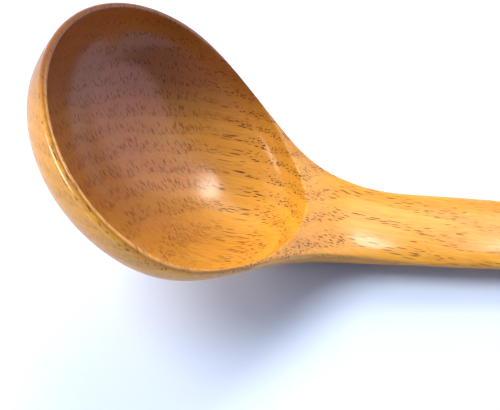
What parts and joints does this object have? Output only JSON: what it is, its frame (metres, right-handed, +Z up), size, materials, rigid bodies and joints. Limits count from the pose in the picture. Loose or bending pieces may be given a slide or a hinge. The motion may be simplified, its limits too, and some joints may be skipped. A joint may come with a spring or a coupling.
{
  "type": "wooden soup ladle",
  "caption": "One-piece carved wooden ladle with a pear-shaped bowl, a kicked-up handle and a clear gloss lacquer, lying as it rests on a table.",
  "frame": {"origin": "on the surface that the ladle rests on, under the centre of its bounding box", "axes": "+Z up, +X from the bowl towards the handle's end, Y = 0 is the plane of symmetry"},
  "size_m": [0.2946, 0.0846, 0.0737],
  "materials": {
    "oiled_wood": "golden-brown ring-porous hardwood, fine dark pores, smooth carved",
    "clear_lacquer": "clear high-gloss lacquer film, slightly amber"
  },
  "bodies": {
    "root": {"ladle_wood": "oiled_wood", "lacquer_coat": "clear_lacquer"}
  },
  "joints": []
}
